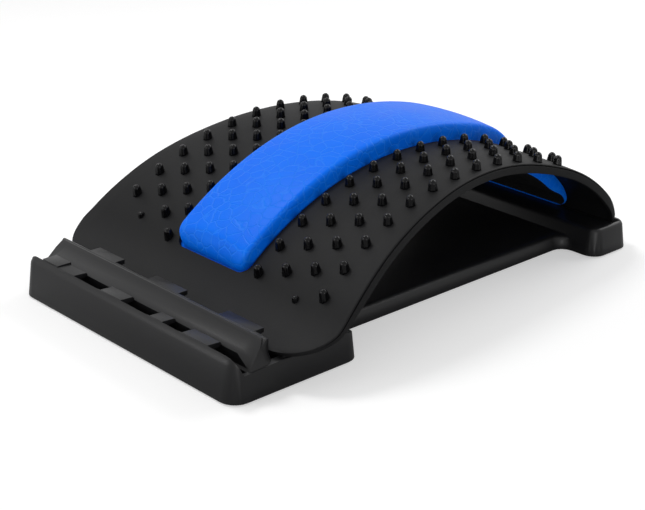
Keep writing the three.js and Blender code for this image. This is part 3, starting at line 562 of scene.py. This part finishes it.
def slab_rings(start, stop, half, corner, low, high, step):
    """A slab that follows the arch between two runs, with round corners in plan."""
    rings = []
    for run in full_runs(start, stop, corner, corner, WINDOW_CORNER_STEPS, step):
        x = half - corner_cut(min(run - start, stop - run), corner)
        rings.append([arch.point(run, a, b) for a, b in ((x, high), (x, low), (-x, low), (-x, high))])
    return rings


def combine(piece, tool, operation):
    """Cuts or joins one piece with another, which is then removed."""
    boolean = piece.modifiers.new("combine", "BOOLEAN")
    boolean.operation = operation
    boolean.solver = "EXACT"
    boolean.object = tool
    bake(piece)
    bpy.data.objects.remove(tool)


def make_arch_plate():
    runs = full_runs(0, arch.length, PLATE_CORNER, TAIL_CORNER, PLATE_CORNER_STEPS, PLATE_RING_STEP)
    plate = add_object("arch_shell", loft("arch_shell", [plate_ring(run) for run in runs]))
    window = add_object("window_cutter", loft("window_cutter", slab_rings(
        WINDOW_FRONT_MARGIN, arch.length - WINDOW_REAR_MARGIN, WINDOW_WIDTH / 2, WINDOW_CORNER,
        -PLATE_THICKNESS - CUT_OVERRUN, CUT_OVERRUN, PLATE_RING_STEP)))
    combine(plate, window, "DIFFERENCE")
    end = arch.point(arch.length, 0, -PLATE_THICKNESS / 2)
    length = (PLATE_REAR_WIDTH - 2 * TAIL_CORNER) * MM
    bead = bmesh.new()
    bead.from_mesh(plate.data)
    turned = Matrix.Translation(end) @ Matrix.Rotation(math.pi / 2, 4, "Y")
    bmesh.ops.create_cone(bead, cap_ends=True, segments=BEAD_SIDES, radius1=TAIL_BEAD_RADIUS * MM,
                          radius2=TAIL_BEAD_RADIUS * MM, depth=length, matrix=turned)
    bead.to_mesh(plate.data)
    bead.free()
    set_material(plate, arch_pp)
    smooth_by_angle(plate, PLATE_SHARP_ANGLE)
    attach(plate, "arch")
    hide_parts("arch_plate")


make_arch_plate()


# Nodules, made by Geometry Nodes

def nodule_places():
    """Runs, places across and sizes of the nodules, in the rows of the moulding."""
    places = []
    for side in (1, -1):
        inner = NODULE_COLUMNS[side][0]
        for index, column in enumerate(NODULE_COLUMNS[side]):
            first = NODULE_START[side] + side * NODULE_SLANT * index
            row = NODULE_FIRST_ROWS[side][index]
            while first + row * NODULE_PITCH <= arch.length - NODULE_REAR_MARGIN:
                run = first + row * NODULE_PITCH
                half = plate_half_width(run)
                narrow = 1 - NODULE_NARROWING * (1 - 2 * half / PLATE_FRONT_WIDTH)
                x = min(inner + (column - inner) * narrow, half - NODULE_EDGE_KEEP)
                places.append((run, side * x, STUB_SHARE if (side, index, row) in NODULE_STUBS else 1.0))
                row += 1
    return places


NODULE_INPUTS = {"Radius": NODULE_RADIUS * MM, "Height": NODULE_HEIGHT * MM, "Taper": NODULE_TAPER_SHARE,
                 "Tip": NODULE_TIP_SHARE, "Flute depth": FLUTE_DEPTH_SHARE, "Flutes": FLUTE_COUNT,
                 "Sink": NODULE_SINK * MM}

# Sums that turn a plain drum of radius 1 into a fluted cone and stand it on the slope.
# Each row holds a result, an operation, and what that takes: a number, or the name of a value.
NODULE_SUMS = (
    # Levels crowd towards the tip, where the cap turns in
    ("drum_level", "ADD", "z", 0.5),
    ("drum_rest", "SUBTRACT", 1.0, "drum_level"),
    ("rest", "POWER", "drum_rest", 1.6),
    ("level", "SUBTRACT", 1.0, "rest"),
    ("angle", "ARCTAN2", "y", "x"),
    ("cosine", "COSINE", "angle"),
    ("sine", "SINE", "angle"),
    ("x_squared", "POWER", "x", 2.0),
    ("y_squared", "POWER", "y", 2.0),
    ("reach_squared", "ADD", "x_squared", "y_squared"),
    ("drum_reach", "SQRT", "reach_squared"),
    ("reach", "MINIMUM", 1.0, "drum_reach"),
    # The cap is an ellipse over the last part of the height
    ("tip_start", "SUBTRACT", 1.0, "Tip"),
    ("past_start", "SUBTRACT", "level", "tip_start"),
    ("past_share", "DIVIDE", "past_start", "Tip"),
    ("over", "MAXIMUM", 0.0, "past_share"),
    ("over_squared", "POWER", "over", 2.0),
    ("cap_left", "SUBTRACT", 1.0, "over_squared"),
    ("cap_squared", "MAXIMUM", 0.0, "cap_left"),
    ("cap", "SQRT", "cap_squared"),
    ("narrowing", "MULTIPLY", "Taper", "level"),
    ("slope", "SUBTRACT", 1.0, "narrowing"),
    # Flutes run up the side and die out below the tip
    ("flute_angle", "MULTIPLY", "angle", "Flutes"),
    ("ripple", "COSINE", "flute_angle"),
    ("wave", "MULTIPLY_ADD", "ripple", 0.5, 0.5),
    ("over_root", "POWER", "over", 0.5),
    ("below_tip", "SUBTRACT", 1.0, "over_root"),
    ("fade", "MULTIPLY", "below_tip", "Flute depth"),
    ("sharp_wave", "POWER", "wave", 1.5),
    ("dent", "MULTIPLY", "sharp_wave", "fade"),
    ("flute", "SUBTRACT", 1.0, "dent"),
    ("wall", "MULTIPLY", "slope", "cap"),
    ("fluted_reach", "MULTIPLY", "flute", "reach"),
    ("radius_share", "MULTIPLY", "wall", "fluted_reach"),
    ("radius", "MULTIPLY", "radius_share", "Radius"),
    ("cone_x", "MULTIPLY", "radius", "cosine"),
    ("cone_y", "MULTIPLY", "radius", "sine"),
    ("rise", "MULTIPLY", "level", "Height"),
    ("cone_z", "SUBTRACT", "rise", "Sink"),
    # A point near the foot slides along the slope that the nodule stands on
    ("level_rest", "SUBTRACT", 1.0, "level"),
    ("foot_share", "POWER", "level_rest", 2.0),
    ("new_foot", "MULTIPLY", "cone_y", "foot_share"),
    ("slide", "MULTIPLY", "foot", "skew"),
    ("slide_back", "MULTIPLY", "slide", -1.0),
    ("tilt_sine", "SINE", "tilt"),
    ("tilt_cosine", "COSINE", "tilt"),
    ("slide_y", "MULTIPLY", "slide_back", "tilt_sine"),
    ("slide_z", "MULTIPLY", "slide", "tilt_cosine"),
    # A stub is low, and only a little thinner
    ("stub_width", "POWER", "size", 0.4),
)


def nodule_tree(material):
    """A fluted cone with a round tip on every point of the mesh it is given."""
    tree = bpy.data.node_groups.new("fluted_nodules", "GeometryNodeTree")
    tree.interface.new_socket("Geometry", in_out="OUTPUT", socket_type="NodeSocketGeometry")
    tree.interface.new_socket("Geometry", in_out="INPUT", socket_type="NodeSocketGeometry")
    for name, value in NODULE_INPUTS.items():
        socket = tree.interface.new_socket(name, in_out="INPUT", socket_type="NodeSocketFloat")
        socket.default_value = value
    group = add(tree, "NodeGroupInput").outputs
    drum = add(tree, "GeometryNodeMeshCylinder", {"fill_type": "TRIANGLE_FAN"},
               inputs={"Vertices": 32, "Side Segments": 9, "Fill Segments": 1, "Radius": 1.0, "Depth": 1.0})
    place = add(tree, "GeometryNodeInputPosition")
    split = add(tree, "ShaderNodeSeparateXYZ", links={"Vector": place.outputs[0]}).outputs
    values = {"x": split["X"], "y": split["Y"], "z": split["Z"]}
    values.update({name: group[name] for name in NODULE_INPUTS})
    for name in ("foot", "skew", "tilt", "size"):
        stored = add(tree, "GeometryNodeInputNamedAttribute", {"data_type": "FLOAT"}, inputs={"Name": name})
        values[name] = stored.outputs["Attribute"]
    for result, operation, *parts in NODULE_SUMS:
        worked = add(tree, "ShaderNodeMath", {"operation": operation},
                     inputs={i: part for i, part in enumerate(parts) if not isinstance(part, str)},
                     links={i: values[part] for i, part in enumerate(parts) if isinstance(part, str)})
        values[result] = worked.outputs[0]

    marked = add(tree, "GeometryNodeStoreNamedAttribute", {"data_type": "FLOAT", "domain": "POINT"},
                 inputs={"Name": "foot"},
                 links={"Geometry": drum.outputs["Mesh"], "Value": values["new_foot"]})
    moved = add(tree, "ShaderNodeCombineXYZ", links={
        "X": values["cone_x"], "Y": values["cone_y"], "Z": values["cone_z"]})
    shaped = add(tree, "GeometryNodeSetPosition", links={
        "Geometry": marked.outputs[0], "Position": moved.outputs[0]})
    closed = add(tree, "GeometryNodeMergeByDistance", inputs={"Distance": NODULE_WELD * MM},
                 links={"Geometry": shaped.outputs[0]})
    euler = add(tree, "ShaderNodeCombineXYZ", links={"X": values["tilt"]})
    turn = add(tree, "FunctionNodeEulerToRotation", links={"Euler": euler.outputs[0]})
    scale = add(tree, "ShaderNodeCombineXYZ", links={
        "X": values["stub_width"], "Y": values["stub_width"], "Z": values["size"]})
    points = add(tree, "GeometryNodeMeshToPoints", links={"Mesh": group["Geometry"]})
    copies = add(tree, "GeometryNodeInstanceOnPoints", links={
        "Points": points.outputs[0], "Instance": closed.outputs[0], "Rotation": turn.outputs[0],
        "Scale": scale.outputs[0]})
    real = add(tree, "GeometryNodeRealizeInstances", links={"Geometry": copies.outputs[0]})
    offset = add(tree, "ShaderNodeCombineXYZ", links={"Y": values["slide_y"], "Z": values["slide_z"]})
    rooted = add(tree, "GeometryNodeSetPosition", links={
        "Geometry": real.outputs[0], "Offset": offset.outputs[0]})
    soft = add(tree, "GeometryNodeSetShadeSmooth", links={"Geometry": rooted.outputs[0]})
    dressed = add(tree, "GeometryNodeSetMaterial", inputs={"Material": material}, links={
        "Geometry": soft.outputs[0]})
    add(tree, "NodeGroupOutput", links={"Geometry": dressed.outputs[0]})
    return tree


def make_nodules():
    places = nodule_places()
    mesh = bpy.data.meshes.new("nodules")
    feet = [arch.point(run, x, -camber_at(run, x, plate_half_width(run))) for run, x, _ in places]
    mesh.from_pydata([tuple(foot) for foot in feet], [], [])
    headings = [arch.at(run)[2] for run, _, _ in places]
    for name, values in (("tilt", [heading * NODULE_LEAN for heading in headings]),
                         ("skew", [math.tan(heading * (1 - NODULE_LEAN)) for heading in headings]),
                         ("size", [share for _, _, share in places])):
        mesh.attributes.new(name, "FLOAT", "POINT").data.foreach_set("value", values)
    obj = add_object("nodules", mesh)
    tree = nodule_tree(nodule_gloss)
    modifier = obj.modifiers.new("nodules", "NODES")
    modifier.node_group = tree
    for item in tree.interface.items_tree:
        if item.in_out == "INPUT" and item.name in NODULE_INPUTS:
            modifier[item.identifier] = NODULE_INPUTS[item.name]
    bake(obj)
    outward(obj.data)
    shade_smooth(obj)
    set_material(obj, nodule_gloss)
    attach(obj, "arch")
    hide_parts("arch_plate")


make_nodules()


# Centre pad

def pad_section(run, start, stop):
    """Half section from the middle of the top down the side into the sheet under the plate."""
    front = 1 - min(1.0, (run - start) / PAD_FRONT_ROUND)
    rear = 1 - min(1.0, (stop - run) / PAD_REAR_ROUND)
    round_off = math.sqrt(max(0.0, 1 - front ** 2)) * math.sqrt(max(0.0, 1 - rear ** 2))
    full = PAD_RISE * (PAD_FRONT_RISE_SHARE + (1 - PAD_FRONT_RISE_SHARE)
                       * smooth((run - start) / (arch.crown - start)))
    low = -PLATE_THICKNESS - SEAT_GAP - FLANGE_THICKNESS / 2
    rise = low + PAD_END_HEIGHT + (full - low - PAD_END_HEIGHT) * round_off
    half = WINDOW_WIDTH / 2 - PAD_CLEARANCE - corner_cut(min(run - start, stop - run), WINDOW_CORNER)
    edge = min(PAD_EDGE, (rise - low) / 2)
    crown = PAD_CROWN * round_off
    side = [((half - edge) * s, rise + crown * (1 - s * s)) for s in (0, 0.2, 0.4, 0.6, 0.8, 0.92)]
    side += arc_points(half - edge, rise - edge, edge, 90, 0, 4)
    side += [(half, rise - edge + (low - rise + edge) * s) for s in (0.2, 0.4, 0.6, 0.8, 1.0)]
    side += [(half * s, low) for s in (0.75, 0.5, 0.25)]
    mirrored = [(-x, height) for x, height in reversed(side[1:])]
    return side + [(0.0, low)] + mirrored


# Stretchy skin over a firm filling
SKIN_CLOTH = {"quality": 6, "mass": 0.3, "tension_stiffness": 40, "compression_stiffness": 40,
              "shear_stiffness": 20, "bending_stiffness": 4, "use_pressure": True,
              "uniform_pressure_force": 4}
FILLING_STEPS = 20


def swell(pad, rises):
    """Fills the skin with cloth pressure and keeps each point near its seam."""
    rest = [v.co.copy() for v in pad.data.vertices]
    cloth = pad.modifiers.new("filling", "CLOTH")
    for name, value in SKIN_CLOTH.items():
        setattr(cloth.settings, name, value)
    cloth.settings.effector_weights.gravity = 0
    cloth.point_cache.frame_start = 1
    cloth.point_cache.frame_end = FILLING_STEPS
    scene = bpy.context.scene
    for step in range(1, FILLING_STEPS + 1):
        scene.frame_set(step)
    bake(pad)
    scene.frame_set(1)
    for vertex, old, rise in zip(pad.data.vertices, rest, rises):
        move = vertex.co - old
        limit = PAD_SWELL * MM * smooth((rise - SWELL_START_RISE) / SWELL_FADE)
        if move.length > limit:
            move = move * (limit / move.length)
        vertex.co = old + move


def make_pad():
    start = WINDOW_FRONT_MARGIN + PAD_CLEARANCE
    stop = arch.length - WINDOW_REAR_MARGIN - PAD_CLEARANCE
    runs = full_runs(start, stop, PAD_FRONT_ROUND, PAD_REAR_ROUND, PAD_END_STEPS, PAD_RING_STEP)
    sections = [(run, pad_section(run, start, stop)) for run in runs]
    rings = [[arch.point(run, x, rise) for x, rise in section] for run, section in sections]
    pad = add_object("centre_pad", loft("centre_pad", rings))
    swell(pad, [rise for _, section in sections for _, rise in section])
    finer = pad.modifiers.new("finer", "SUBSURF")
    finer.levels = finer.render_levels = 1
    bake(pad)
    set_material(pad, pad_pu)
    shade_smooth(pad)
    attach(pad, "arch")
    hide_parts("pad_cover", "pad_foam")


def make_pad_sheet():
    """The pad's base sheet under the plate, around the window and down to the foot, and a black board under
    it as painted shade.
    """
    top = -PLATE_THICKNESS - SEAT_GAP
    start = WINDOW_FRONT_MARGIN - FLANGE_FRONT_REACH
    stop = arch.length - FLANGE_REAR_GAP
    half = WINDOW_WIDTH / 2 + FLANGE_SIDE_REACH
    runs = full_runs(start, stop, FLANGE_CORNER, FLANGE_REAR_CORNER, FLANGE_CORNER_STEPS, FLANGE_RING_STEP)
    rings, shade_board_rings = [], []
    for run in runs:
        x = half - max(corner_cut(run - start, FLANGE_CORNER), corner_cut(stop - run, FLANGE_REAR_CORNER))
        swollen = smooth((run - arch.crown) / FLANGE_THICKENING) * smooth((stop - run) / FLANGE_THINNING)
        depth = FLANGE_THICKNESS + (FLANGE_REAR_THICKNESS - FLANGE_THICKNESS) * swollen
        low = top - depth
        side = [(x - inwards, top - down) for inwards, down in FLANGE_UPPER_EDGE] + [(x, top - depth / 2)]
        side += [(x - inwards, low + up) for inwards, up in FLANGE_LOWER_EDGE]
        rings.append([arch.point(run, a, b) for a, b in side + [(-a, b) for a, b in reversed(side)]])
        # The black board follows the sheet's lower face as painted shade on its underside
        if start + SHADE_BOARD_FRONT_GAP < run < stop - SHADE_BOARD_REAR_GAP:
            back = [(x - inwards, low + up) for inwards, up in SHADE_BOARD_RIGHT_EDGE]
            back += [(inwards - x, low + up) for inwards, up in SHADE_BOARD_LEFT_EDGE]
            shade_board_rings.append([arch.point(run, a, b) for a, b in back])
    for name, rows, finish, slot in (("pad_base_sheet", rings, pad_pu, "pad_cover"),
                                     ("painted_shade_under_sheet", shade_board_rings, shade_board, "arch_plastic")):
        sheet = add_object(name, loft(name, rows))
        set_material(sheet, finish)
        smooth_by_angle(sheet, FLANGE_SHARP_ANGLE)
        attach(sheet, "arch")
        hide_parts("pad_cover")


make_pad()
make_pad_sheet()


# Base moulding

def box_mesh(name, boxes):
    """Separate boxes, each given as x, y and z ranges in millimetres."""
    work = bmesh.new()
    for x0, x1, y0, y1, z0, z1 in boxes:
        middle = Vector(((x0 + x1) / 2, (y0 + y1) / 2, (z0 + z1) / 2)) * MM
        size = Vector((x1 - x0, y1 - y0, z1 - z0)) * MM
        place = Matrix.Translation(middle) @ Matrix.Diagonal(size.to_4d())
        bmesh.ops.create_cube(work, size=1.0, matrix=place)
    mesh = bpy.data.meshes.new(name)
    work.to_mesh(mesh)
    work.free()
    return mesh


def make_base():
    """The base with its plateau, longer lips and openings, its edges rounded as the mould leaves them."""
    base = add_object("base_moulding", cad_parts["base"].data.copy())
    section = list(zip(PLATEAU_SECTION, PLATEAU_LOW))
    rings = [[(x * MM, y * MM, (low + (z - low) * share) * MM) for (y, z), low in section]
             for x, share in PLATEAU_ENDS]
    combine(base, add_object("plateau_filler", loft("plateau_filler", rings)), "UNION")
    combine(base, add_object("longer_lips", box_mesh("longer_lips", LONGER_LIPS)), "UNION")
    boxes = [across + RAIL_OPENING_Y + RAIL_OPENING_Z for across in RAIL_OPENINGS]
    boxes += [across + SPARE_TAB_Y + SPARE_TAB_Z for across in SPARE_TAB_ENDS]
    combine(base, add_object("opening_cutter", box_mesh("opening_cutter", boxes)), "DIFFERENCE")
    work = bmesh.new()
    work.from_mesh(base.data)
    bmesh.ops.remove_doubles(work, verts=work.verts, dist=BASE_WELD * MM)
    bmesh.ops.dissolve_limit(work, angle_limit=BASE_FLAT_ANGLE * DEGREE, verts=work.verts, edges=work.edges)
    work.to_mesh(base.data)
    work.free()
    bevel = base.modifiers.new("mould_rounds", "BEVEL")
    bevel.width = MOULD_ROUND * MM
    bevel.segments = 3
    bevel.limit_method = "ANGLE"
    bevel.angle_limit = MOULD_ROUND_ANGLE * DEGREE
    bevel.use_clamp_overlap = True
    bake(base)
    set_material(base, base_abs)
    smooth_by_angle(base, BASE_SHARP_ANGLE)
    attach(base, "base")
    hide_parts("base")


make_base()

for place in ("front_left", "front_right", "rear_left", "rear_right"):
    set_material(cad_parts["foot_pad_" + place], foot_rubber)


# Floor and light

# Floor: half its width in metres, and the white that it adds for the camera
FLOOR_REACH = 6.0
FLOOR_GLOW = 0.42
# Level of the white surroundings for diffuse light
STUDIO_STRENGTH = 0.38
# Softboxes: name, place and aim in metres, width and height in metres, and watts
SOFTBOXES = (
    ("key_softbox", (-0.6, -0.2, 1.25), (0, 0, 0), 0.45, 0.4, 6.5),
    ("front_softbox", (-0.5, -1.3, 0.42), (0, -0.1, 0.02), 0.8, 0.5, 4.5),
    ("rear_softbox", (0.1, 1.2, 1.0), (0, 0, 0), 1.0, 0.5, 7),
    ("right_softbox", (1.25, -0.55, 0.4), (0, 0.05, 0.03), 0.5, 0.5, 3.5),
)


def make_floor():
    """Pale floor that looks white to the camera and keeps the object's shadow."""
    mesh = bpy.data.meshes.new("floor")
    corners = [(x * FLOOR_REACH, y * FLOOR_REACH, 0) for x, y in ((-1, -1), (1, -1), (1, 1), (-1, 1))]
    mesh.from_pydata(corners, [], [(0, 1, 2, 3)])
    floor = add_object("floor", mesh)
    material, tree, _ = new_material("white_studio_floor")
    paint = add(tree, "ShaderNodeBsdfDiffuse", inputs={"Color": linear("#d9d9d9")})
    path = add(tree, "ShaderNodeLightPath")
    share = add(tree, "ShaderNodeMath", {"operation": "MULTIPLY"}, inputs={1: FLOOR_GLOW},
                links={0: path.outputs["Is Camera Ray"]})
    glow = add(tree, "ShaderNodeEmission", inputs={"Color": linear("#ffffff")},
               links={"Strength": share.outputs[0]})
    both = add(tree, "ShaderNodeAddShader", links={0: paint.outputs[0], 1: glow.outputs[0]})
    add(tree, "ShaderNodeOutputMaterial", links={"Surface": both.outputs[0]})
    set_material(floor, material)


def lamp(name, place, aim, width, height, power):
    data = bpy.data.lights.new(name, "AREA")
    data.shape = "RECTANGLE"
    data.size = width
    data.size_y = height
    data.energy = power
    obj = add_object(name, data)
    obj.location = place
    obj.rotation_euler = (Vector(aim) - Vector(place)).to_track_quat("-Z", "Y").to_euler()


def make_light():
    """White surroundings to camera, gloss and transmission, a soft level to the rest, and softboxes."""
    world = bpy.data.worlds.new("studio")
    world.use_nodes = True
    tree = world.node_tree
    tree.nodes.clear()
    soft = add(tree, "ShaderNodeBackground",
               inputs={"Color": linear("#ffffff"), "Strength": STUDIO_STRENGTH})
    white = add(tree, "ShaderNodeBackground", inputs={"Color": linear("#ffffff"), "Strength": 1.0})
    path = add(tree, "ShaderNodeLightPath")
    seen = add(tree, "ShaderNodeMath", {"operation": "MAXIMUM"}, links={
        0: path.outputs["Is Camera Ray"], 1: path.outputs["Is Transmission Ray"]})
    shown = add(tree, "ShaderNodeMath", {"operation": "MAXIMUM"}, links={
        0: seen.outputs[0], 1: path.outputs["Is Glossy Ray"]})
    mixed = add(tree, "ShaderNodeMixShader", links={
        0: shown.outputs[0], 1: soft.outputs[0], 2: white.outputs[0]})
    add(tree, "ShaderNodeOutputWorld", links={"Surface": mixed.outputs[0]})
    bpy.context.scene.world = world
    for softbox in SOFTBOXES:
        lamp(*softbox)


make_floor()
make_light()
bpy.context.scene.view_settings.view_transform = "Standard"
